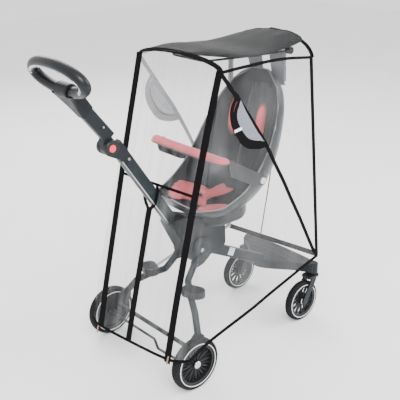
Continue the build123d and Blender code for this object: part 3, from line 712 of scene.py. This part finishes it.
rows = []
for i in range(41):
    row = []
    for j in range(41):
        u = j / 20 - 1
        top = FRONT_ARCH_Z + front_arch(u)
        low = front_low(u * front_half(u, FRONT_FOOT_Z)) - 4
        z = low + (top - low) * i / 40
        row.append(front_point(u * front_half(u, z), z))
    rows.append(row)
sheet_of("front_film_panel", rows, FRONT_FILM, "cover_front",
         lambda a, b: (b * 0.01, a * 0.02))
rows = [[roof_point(i / 40, j * 4.5 - 90) for j in range(41)] for i in range(41)]
sheet_of("roof_film_panel", rows, ROOF_FILM, "cover_roof",
         lambda a, b: (b * 0.011, a * 0.01))


# ---- black tape of the rain cover
def levels(low, high, step=12):
    """Even levels from low to high, about step apart."""
    count = max(2, round(abs(high - low) / step))
    return [low + (high - low) * i / count for i in range(count + 1)]


def rear_line(points):
    """Places (y, z) joined by straight lines, sampled about every 12 mm on the rear panel."""
    made = []
    for (y0, z0), (y1, z1) in zip(points, points[1:]):
        count = max(2, round(math.hypot(y1 - y0, z1 - z0) / 12))
        made += [(y0 + (y1 - y0) * i / count, z0 + (z1 - z0) * i / count) for i in range(count)]
    return [rear_point(y, z, 0.5) for y, z in made + [points[-1]]]


# Places (y, z) of the front panel's piping, of the rear panel's edge tapes, and side-view diagonal
PIPING_LINE = ((75, 256), (50, 363), (30, 451), (8, 557), (-8, 640))
STRIPS = {1: [(196, 1003), (195, 995), (193, 691), (186, 356), (184, 225), (176, 92)],
          -1: [(-194, 1004), (-191, 990), (-184, 860), (-178, 564), (-177, 317), (-181, 118)]}
DIAGONAL = spline([(149, 0, 990), (232, 0, 876), (314, 0, 760), (385, 0, 640), (447, 0, 529), (510, 0, 415),
                   (572, 0, 301), (598, 0, 276)], 12)
for side, name in SIDES:
    tape(f"rear_edge_tape_{name}", rear_line(STRIPS[side]), REAR_OUT, 0.029)
    hem = [side_point(side, u, 0.0, 0.3) for u in levels(0, 1, 0.02)]
    tape(f"side_hem_tape_{name}", hem, (0, side, 0.05), 0.013, lining=LINING)
    front = [side_point(side, 1.0, v, 0.6) for v in levels(0, 1, 0.02)]
    inner = LINING if side > 0 else None
    tape(f"front_edge_tape_{name}", [p - Vector((0.005, 0, 0)) for p in front], (0, side, 0), 0.015,
         lining=inner)
    tape(f"front_edge_binding_{name}", [p - Vector((0, side * 0.006, 0)) for p in front], (1, 0, 0), 0.012,
         lining=inner)
    seam = [side_point(side, u, 1.0, 0.6) for u in levels(0, 1, 0.02)]
    tape(f"top_seam_tape_{name}", seam, Vector((0, side, 0.7)), 0.010, lining=LINING)
    path = [side_at(side, p.x, p.z, 0.5) for p in DIAGONAL]
    tape(f"diagonal_tape_{name}", path, (0, side, 0.05), 0.014, lining=LINING)

arch = [rear_point(REAR_TOP_HALF * math.sin(a), arch_top(math.sin(a)), 0.6) for a in levels(-1.5, 1.5, 0.04)]
tape("rear_arch_tape", arch, Vector((-0.8, 0, 0.9)), 0.015)
arch = [front_point(FRONT_TOP_HALF * math.sin(a), FRONT_ARCH_Z + front_arch(math.sin(a)), 0.6)
        for a in levels(-math.pi / 2, math.pi / 2, 0.05)]
tape("front_arch_tape", arch, (1, 0, 0), 0.012)
tape("front_arch_binding", [p - Vector((0.0055, 0, 0)) for p in arch],
     lambda p, i: p - at(552, 0, 960), 0.010)
tape("front_hem_tape", [front_point(y, front_low(y), 0.6) for y in levels(-207, 257)], (1, 0, 0), 0.020)
hem = [rear_point(u * 256, rear_low(u) + 1, 0.4) for u in levels(-1, 1, 0.04)]
tape("rear_hem_tape", hem, REAR_OUT, 0.010)
tape("cross_tape", rear_line([(-181, 632), (0, 624), (192, 615)]), REAR_OUT, 0.009)
tape("zip_tape", rear_line([(20, 548), (20, 510), (18, 410), (20, 108)]), REAR_OUT, 0.027)
SLOT = {"left": [(0, 62, 621), (0, 62, 596), (0, 50, 566), (0, 22, 538)],
        "right": [(0, 0, 622), (0, -6, 596), (0, -2, 566), (0, 18, 538)]}
for name, line in SLOT.items():
    tape(f"slot_band_{name}", [rear_point(p.y, p.z, 1.2) for p in spline(line, 5)], REAR_OUT, 0.014)
piping = [front_point(y, z, -0.004) - Vector((0.002, 0, 0)) for y, z in PIPING_LINE]
tube("front_piping", spline(piping, 0.02), 0.0024, BROWN, normals=(1, 0, 0))

for side, name in SIDES:
    foot = 89 if side > 0 else 137
    loop = [rear_point(side * 186, foot + 4, 3), rear_point(side * 186, foot - 10, 4.5),
            rear_point(side * 186, foot - 21, 4)]
    tape(f"hem_tab_{name}", spline(loop, 0.003), REAR_OUT, 0.006, ELASTIC, thick=0.0016)


def vent(side, name):
    """Half-moon vent: a double band round a mesh patch, hung from the diagonal tape."""
    outer = [(209, 922), (193, 905), (180, 878), (181, 842), (195, 810), (218, 777), (242, 758), (286, 745),
             (322, 744)]
    inner = [(218, 908), (205, 893), (194, 872), (194, 845), (206, 819), (227, 789), (248, 771), (286, 758),
             (316, 757)]
    for label, line in (("outer", outer), ("inner", inner)):
        edge = spline([(x, 0, z) for x, z in line], 8)
        tape(f"vent_{label}_band_{name}", [side_at(side, p.x, p.z, 1.6) for p in edge], (0, side, 0.05),
             0.0145, lining=LINING)
    rows = []
    for k in range(9):
        row = []
        for i, p in enumerate(edge):
            q = p.lerp(edge[0].lerp(edge[-1], i / (len(edge) - 1)), k / 8)
            row.append(side_at(side, q.x, q.z, 1.2 + 2.5 * math.sin(math.pi * k / 8)))
        rows.append(row)
    build = grid(rows)
    bmesh.ops.remove_doubles(build, verts=build.verts, dist=1e-5)
    patch = finish_mesh(f"vent_mesh_{name}", build, MESH)
    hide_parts(f"cover_vent_{name}")
    tab = [side_at(side, x, z, 2.6) for x, z in ((186, 815), (202, 817), (217, 819))]
    tape(f"vent_tab_{name}", tab, (0, side, 0.05), 0.009, TAB)


for side, name in SIDES:
    vent(side, name)

# ---- canopy
def build_canopy():
    """Canopy cloth with a hem along its whole edge."""
    build = grid([[canopy_point(i / 48, math.sin(math.radians(j * 3.6 - 90))) for j in range(51)]
                  for i in range(49)], uv=lambda a, b: (b * 0.0065, a * 0.0082))
    cloth = finish_mesh("canopy_cloth", build, CANOPY, "canopy")
    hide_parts("canopy_fabric")
    edge = [canopy_point(i / 48, -1) for i in range(49)]
    edge += [canopy_point(1.0, math.sin(math.radians(a))) for a in range(-84, 91, 6)]
    edge += [canopy_point(i / 48, 1) for i in range(47, -1, -1)]
    edge += [canopy_point(0.0, math.sin(math.radians(a))) for a in range(84, -90, -6)]
    hem = tube("canopy_hem", edge, 0.0017, CANOPY, "canopy", closed=True)


build_canopy()

# ---- seat bucket lining, in fan coordinates
SEAT_X, SEAT_Z = 193.0, 900.0                  # centre of the fan, in mm
LINING_INSET = 6.5                             # from the bucket's outside to the padding, in mm
GRIP_Z = 706                                   # height of the bumper bar, in mm
PUFF_PRESSURE, PUFF_VOXEL, PUFF_FRAMES = 4.0, 0.005, 20
# Fan angle, radius at the rim, radius at the middle and half width
BUCKET = [(-111, 345, 352, 52), (-101, 366, 385, 118), (-90, 359, 417, 154), (-75, 330, 442, 168),
          (-60, 296, 450, 171), (-45, 273, 419, 170), (-30, 264, 386, 160), (-15, 272, 371, 138),
          (-4, 290, 358, 106), (4, 315, 331, 46)]


def bucket(angle, turn, inset):
    """Inside the bucket: fan angle and turn round the half ellipse in degrees, inset from outside in mm."""
    rim, outer, half = look_up(BUCKET, angle)
    a, t = math.radians(angle), math.radians(turn)
    radius = rim + (outer - rim - inset) * math.cos(t)
    return at(SEAT_X + radius * math.cos(a), (half - inset) * math.sin(t), SEAT_Z + radius * math.sin(a))


def closed_spline(points, count):
    """Smooth closed curve through 2-D places, resampled evenly."""
    points = [Vector((a, b, 0)) for a, b in points]
    ring = points[-1:] + points + points[:2]
    curve = []
    for four in zip(ring, ring[1:], ring[2:], ring[3:]):
        curve += [catmull(*four, k / 12) for k in range(12)]
    return [curve[int(i * len(curve) / count)] for i in range(count)]


def pad_lobe(build, outline, centre, thick):
    """Closed crowned lobe lying on the bucket's wall."""
    edge = closed_spline(outline, 56)
    mid = Vector((*centre, 0))
    top, bottom = [], []
    for k in range(13):
        share = k / 12
        rise = (thick - 3) * (1 - share ** 3) ** 0.5
        ring = [mid.lerp(p, max(share, 0.02)) for p in edge]
        top.append([bucket(p.x, p.y, LINING_INSET + 4.0 + rise) for p in ring])
        bottom.append([bucket(p.x, p.y, LINING_INSET) for p in ring])
    grid(top + bottom[::-1], close_u=True, capped=True, build=build)


def evaluated(piece):
    """Bakes a piece's modifiers into its mesh."""
    graph = bpy.context.evaluated_depsgraph_get()
    baked = bpy.data.meshes.new_from_object(piece.evaluated_get(graph))
    piece.modifiers.clear()
    old, piece.data = piece.data, baked
    bpy.data.meshes.remove(old)


def puff(piece, cap):
    """Swells a closed piece by a short cloth simulation in which no point moves further than cap."""
    even = piece.modifiers.new("even", "REMESH")
    even.mode, even.voxel_size = "VOXEL", PUFF_VOXEL
    evaluated(piece)
    start = np.array([v.co for v in piece.data.vertices])
    cloth = piece.modifiers.new("cloth", "CLOTH")
    cloth.settings.use_pressure = True
    cloth.settings.uniform_pressure_force = PUFF_PRESSURE
    cloth.settings.effector_weights.gravity = 0.0
    cloth.point_cache.frame_start, cloth.point_cache.frame_end = 1, PUFF_FRAMES
    for frame_number in range(1, PUFF_FRAMES + 1):
        bpy.context.scene.frame_set(frame_number)
    soft = piece.evaluated_get(bpy.context.evaluated_depsgraph_get())
    moved = np.array([v.co for v in soft.to_mesh().vertices]) - start
    soft.to_mesh_clear()
    piece.modifiers.clear()
    bpy.context.scene.frame_set(1)
    length = np.linalg.norm(moved, axis=1, keepdims=True)
    moved *= np.minimum(1.0, cap / np.maximum(length, 1e-9))
    for vertex, place in zip(piece.data.vertices, start + moved):
        vertex.co = place
    smooth = piece.modifiers.new("smooth", "SUBSURF")
    smooth.levels = smooth.render_levels = 1
    evaluated(piece)
    for polygon in piece.data.polygons:
        polygon.use_smooth = True


def soft_piece(name, build, material, body, node, cap, ribs=None):
    """Padded piece in place of a CAD node; ribs moves its points once it has swollen."""
    made = finish_mesh(name, build, material, None)
    puff(made, cap)
    if ribs:
        for vertex in made.data.vertices:
            vertex.co = ribs(vertex.co.copy())
    if not made.data.materials:
        made.data.materials.append(material)
    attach(made, body)
    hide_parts(node)
    return made


def seat_pad():
    """Two side lobes and a middle one on the seat, with a seam on each side lobe."""
    lobes = {1: [(-91.5, 52), (-90.7, 62), (-87.7, 73), (-84, 78), (-79, 75), (-75, 63), (-72, 50),
                 (-69, 36), (-71, 24), (-76, 17), (-81, 19), (-84.5, 30), (-88, 36), (-90.5, 44)],
             -1: [(-83, -6), (-79, -3.5), (-76, 4), (-73, 12), (-74, 22), (-79, 30), (-85, 30), (-89, 20),
                  (-88, 4)]}
    middle = {1: (-79.5, 47), -1: (-81, 14)}
    back = [(-80.5, 20), (-77, 31), (-74, 37), (-67.5, 29), (-61.5, 21), (-62.5, 12), (-61.5, 3), (-64, 2),
            (-67, 6), (-73, 14)]
    build = bmesh.new()
    for side in (1, -1):
        pad_lobe(build, mirrored(lobes[side], side), mirrored([middle[side]], side)[0], 13)
    pad_lobe(build, back, (-69.5, 18), 9)
    soft_piece("seat_pad", build, PINK, "chassis", "seat_cushion", 0.006)
    for side, name in SIDES:
        mid, swing = middle[side]
        inner = [(mid + (a - mid) * 0.62, swing + (t - swing) * 0.62) for a, t in lobes[side]]
        seam = [bucket(p.x, side * p.y, 21) for p in closed_spline(inner, 60)]
        tube(f"seat_pad_seam_{name}", seam, 0.0011, PIPING, closed=True)


def back_liner():
    """Thin quilted lining of the seat's back."""
    build = bmesh.new()
    outline = [(-57, 0), (-56, 16), (-50, 25), (-40, 29), (-28, 33), (-16, 38), (-8, 38), (-4.5, 28), (-4, 0),
               (-4.5, -28), (-8, -38), (-16, -38), (-28, -33), (-40, -29), (-50, -25), (-56, -16)]
    pad_lobe(build, outline, (-30, 0), 7)

    def channels(place):
        """Sewn channels that run up the back."""
        y = place.y * 1000
        groove = min(abs(y - line) for line in (-52, -26, 0, 26, 52))
        if groove < 5:
            inward = Vector((AXLE_X + SEAT_X / 1000 - place.x, 0, SEAT_Z / 1000 - place.z)).normalized()
            place -= inward * 0.003 * (1 - groove / 5) ** 2
        return place

    soft_piece("back_liner", build, LINER, "chassis", "seat_liner", 0.005, channels)


def headrest_wing(side, name):
    """Curved side pad of the headrest, thin at its ends, with a seam round its face."""
    mid = at(446, side * 65, 759)
    along = Vector((math.sin(math.radians(10)), 0, math.cos(math.radians(10))))
    out = Vector((along.z, 0, -along.x))
    rows = []
    for i in range(25):
        s = i / 12 - 1
        size = max(0.04, (1 - abs(s) ** 2.8)) ** 0.5
        lean = -4 * (1 - s * s) + 3
        row = []
        for angle in turns(24):
            bulge = 18 * math.cos(angle) * size
            row.append(mid + (along * (s * 60) + out * (bulge + lean)) / 1000
                       + Vector((0, side * 11 * math.sin(angle) * size / 1000, 0)))
        rows.append(row)
    build = grid(rows, close_u=True, capped=True)
    soft_piece(f"headrest_pad_{name}", build, PINK, "chassis", f"headrest_wing_{name}", 0.005)
    edge = []
    for angle in turns(48):
        s = math.cos(angle)
        size = max(0.0, (1 - abs(s) ** 2.8)) ** 0.5
        reach = 22 * (1 if math.sin(angle) > 0 else -1) * size
        edge.append(mid + (along * (s * 64) + out * (reach - 4 * (1 - s * s) + 3)) / 1000)
    tube(f"headrest_seam_{name}", edge, 0.0012, PIPING, closed=True, normals=(0, side, 0))


def crotch_strap_pad():
    """Upright pad with a strap slot through it."""
    foot = at(234, 0, 494)
    up = Vector((0.16, 0, 1)).normalized()
    face = Vector((up.z, 0, -up.x))
    rows = []
    for i in range(17):
        s = i / 16
        half = 21 - 5 * s + 2 * math.sin(math.pi * s)
        thick = 7.5 * (1 - (2 * s - 1) ** 8) ** 0.5 + 0.4
        row = []
        for angle in turns(20):
            wide = half * blunt(math.cos(angle), 0.7)
            deep = thick * blunt(math.sin(angle), 0.8) + 6 * s * s
            row.append(foot + (up * (58 * s) + face * deep) / 1000 + Vector((0, wide / 1000, 0)))
        rows.append(row)
    build = grid(rows, close_u=True, capped=True)
    soft_piece("crotch_strap_pad", build, PINK, "chassis", "crotch_pad", 0.004)

    def slot(size):
        return [foot + up * 0.042 - face * 0.0085 + Vector((0, size * 1.25 * math.cos(a), 0))
                + up * (size * 0.7 * math.sin(a)) for a in turns(32)]

    tube("crotch_slot_rim", slot(0.0105), 0.0016, PIPING, closed=True, normals=-face)
    build = bmesh.new()
    for depth in (0.0, 0.0012):
        build.faces.new([build.verts.new(p - face * depth) for p in slot(0.0075)])
    finish_mesh("crotch_slot_web", build, WEBBING, smooth=False)


def grip_line(s):
    """Places ahead and along Y of the bumper pad's middle line, s from -1 to 1; its ends turn forward."""
    reach = 190 * abs(s)
    turn = min(1.0, max(0.0, (reach - 150) / 30)) * math.radians(66)
    y = min(reach, 150) + 26 * math.sin(turn) + max(0.0, reach - 180) * math.cos(turn)
    ahead = 176 + 26 * (1 - math.cos(turn)) + max(0.0, reach - 180) * math.sin(turn)
    return ahead, math.copysign(y, s)


def grip_pad():
    """Soft sleeve of the bumper bar: coloured above, grey below, rounded ends, piping on both sides."""
    path = [Vector((*grip_line(i / 36 - 1), 0)) for i in range(73)]
    ways = tangents(path)
    rows = []
    for i, (place, way) in enumerate(zip(path, ways)):
        size = max(0.03, 1 - abs(i / 36 - 1) ** 18) ** 0.5
        across = Vector((way.y, -way.x, 0))
        row = []
        for angle in turns(28):
            tall = (13.5 if math.sin(angle) > 0 else 12.0) * blunt(math.sin(angle), 0.85) * size
            spot = place + across * (17.5 * blunt(math.cos(angle), 0.75) * size)
            row.append(at(spot.x, spot.y, GRIP_Z + 1 + tall))
        rows.append(row)
    build = grid(rows, close_u=True, capped=True)
    pad = soft_piece("bumper_grip_pad", build, PINK, "bumper", "bumper_grip", 0.003)
    pad.data.materials.append(UNDERSIDE)
    for polygon in pad.data.polygons:
        if polygon.center.z * 1000 < GRIP_Z - 3:
            polygon.material_index = 1
    for side, name in ((1, "front"), (-1, "back")):
        line = []
        for i, (place, way) in enumerate(zip(path, ways)):
            reach = side * 18.4 * max(0.0, 1 - abs(i / 36 - 1) ** 18) ** 0.5
            spot = place + Vector((way.y, -way.x, 0)) * reach
            line.append(at(spot.x, spot.y, GRIP_Z - 3))
        tube(f"grip_piping_{name}", line, 0.0013, UNDERSIDE, "bumper", normals=(0.2, 0, 1))


seat_pad()
back_liner()
for side, name in SIDES:
    headrest_wing(side, name)
crotch_strap_pad()
grip_pad()

# ---- hard trim
def add_rim_highlight_bead():
    """Tube along the bucket's edge, coloured pale grey as a painted highlight of the lip."""
    angles = levels(-111, 4, 2)
    edge = [bucket(a, 90, 2) for a in angles]
    edge += [bucket(4, t, 2) for t in range(80, -81, -10)]
    edge += [bucket(a, -90, 2) for a in reversed(angles)]
    edge += [bucket(-111, t, 2) for t in range(-80, 81, 10)]
    tube("seat_rim_highlight_bead", edge, 0.0026, PAINTED_RIM_HIGHLIGHT, closed=True,
         normals=lambda p, i: at(SEAT_X, 0, SEAT_Z) - p)


add_rim_highlight_bead()


def arm_trim():
    """Bright strip along the lower edge of the arm on each side."""
    foot, top = Vector((99, 0, 488)), Vector((-104, 0, 789))
    run = (top - foot).normalized()
    below = Vector((-run.z, 0, run.x))
    start, end = foot + run * 6, top - run * 56
    for side, name in SIDES:
        line = [start.lerp(end, t) + below * 17.5 for t in levels(0, 1, 0.05)]
        tape(f"arm_trim_low_{name}", [at(p.x, side * 12.5, p.z) for p in line], (0, side, 0), 0.0035,
             SILVER, lift=0.0)


arm_trim()


def ring_strip():
    """Bright strip with dark screws under the ring's upper half, and the yoke's collar on its lower bar."""
    centre, tilt = at(-277.4, 0, 1019.8), math.radians(117.5)
    up = Vector((math.cos(tilt), 0, math.sin(tilt)))
    behind = Vector((-up.z, 0, up.x))
    half_long, half_high = 0.128, 0.0475

    def bar(turn):
        """On the middle line of the ring's bar, turn in degrees."""
        a = math.radians(turn)
        return centre + Vector((0, half_long * math.cos(a), 0)) + up * (half_high * math.sin(a))

    def facing(p, i=0):
        return (centre - p).normalized() * 0.30 + behind * 0.95

    tape("ring_inner_strip", [bar(turn) for turn in levels(4, 216, 4)], facing, 0.0085, SILVER, "handle",
         lift=0.0164)
    for turn in (10, 62, 118, 176, 206):
        out = facing(bar(turn)).normalized()
        spot = bar(turn) + out * 0.0176
        swing = out.to_track_quat("Y", "Z").to_matrix()
        rows = [[spot + swing @ Vector((r * math.cos(a), y, r * math.sin(a))) for a in turns(16)]
                for r, y in ((0.0026, 0.0), (0.0024, 0.0007), (0.0002, 0.0008))]
        build = grid(rows, close_u=True)
        build.faces.new(list(build.verts)[-16:])
        finish_mesh(f"ring_screw_{turn}", build, RIM, "handle", False)
    collar = [(0.0, -0.030), (0.0205, -0.030), (0.0225, -0.028)]
    collar += mirrored(reversed(collar), -1)
    lathe("ring_collar", collar, centre - up * 0.045, FRAME_PLASTIC, "handle", 64, False)


ring_strip()


def hub_trim():
    """Raised ring and screw of each fold disc, dark ring round each fold button, screws of the upper arm."""
    cup = [(0.030, 0.0), (0.0315, 0.0014), (0.034, 0.0014), (0.0352, 0.0)]
    head = [(0.0, 0.0024), (0.0042, 0.0022), (0.0056, 0.001), (0.0058, -0.001), (0.0, -0.001)]
    small_head = [(r * 0.62, y) for r, y in head]
    ring = [(0.0126, 0.0), (0.0128, 0.0022), (0.0225, 0.0022), (0.0240, 0.001), (0.0240, 0.0)]
    for side, name in SIDES:
        disc = at(195, side * 50, 360)
        lathe(f"disc_ring_{name}", mirrored(cup, side), disc, FRAME_PAINT, "rear_legs", 72)
        lathe(f"disc_screw_{name}", mirrored(head, side), disc, STEEL, "rear_legs", 32, False)
        lathe(f"button_ring_{name}", mirrored(ring, side), at(-128, side * 24, 786), RIM, "chassis", 64)
        lathe(f"arm_screw_{name}", mirrored(small_head, side), at(-148, side * 12.6, 853), STEEL, "handle",
              32, False)


hub_trim()


def pad_ribs():
    """Grip ribs on the leg pads."""
    turn = math.radians(68)
    along, across = Vector((math.cos(turn), math.sin(turn), 0)), Vector((-math.sin(turn), math.cos(turn), 0))
    for side, name in SIDES:
        build = bmesh.new()
        for k in range(-4, 5):
            half = math.sqrt(max(0.0, 1 - (k / 5.2) ** 2)) * 22
            rows = []
            for t in (-half, half):
                spot = along * (k * 6.2) + across * t
                rows.append([at(96 + spot.x + along.x * a, side * (116 + spot.y + along.y * a), 275.5 + b)
                             for a, b in ((-1.6, 0), (-0.9, 2.0), (0.9, 2.0), (1.6, 0))])
            grid(rows, close_u=True, capped=True, build=build)
        finish_mesh(f"leg_pad_ribs_{name}", build, FRAME_PLASTIC, "rear_legs", False)


pad_ribs()


def footrest_ridges():
    """Curved ridges across the footrest."""
    build = bmesh.new()
    for k in range(3):
        rows = []
        for t in levels(-1, 1, 0.08):
            x = 636 - 26 * k - 8 * t * t
            rows.append([at(x + a, (128 - 16 * k) * t, 209.6 + b)
                         for a, b in ((-2.6, 0), (-1.2, 1.4), (1.2, 1.4), (2.6, 0))])
        grid(rows, close_u=True, capped=True, build=build)
    finish_mesh("footrest_ridges", build, FRAME_PLASTIC, smooth=False)


footrest_ridges()


def beam_label():
    """Blank label on the front beam's right side."""
    start, end = Vector((262, 0, 336)), Vector((520, 0, 206))
    run = (end - start).normalized()
    middle = start + run * 112 + Vector((0, 0, 4))
    corners = [at(*(middle + run * a + Vector((0, -15, 0)) + Vector((-run.z, 0, run.x)) * b))
               for a, b in ((-14, -14), (14, -14), (14, 14), (-14, 14))]
    rows = [[p + Vector((0, depth, 0)) for p in corners] for depth in (-0.0005, 0.0002)]
    finish_mesh("beam_label", grid(rows, close_u=True, capped=True), LABEL, smooth=False)


beam_label()

for side, name in SIDES:
    rod = [at(553, side * 77, 888), at(546, side * 83, 920), at(532, side * 97, 984)]
    tube(f"post_rod_{name}", spline(rod, 0.006), 0.004, CHROME, normals=(0, 1, 0))

# ---- floor
bpy.ops.mesh.primitive_grid_add(x_subdivisions=24, y_subdivisions=24, size=14)
floor = bpy.context.active_object
floor.name = "floor"
floor.data.materials.append(floor_material())
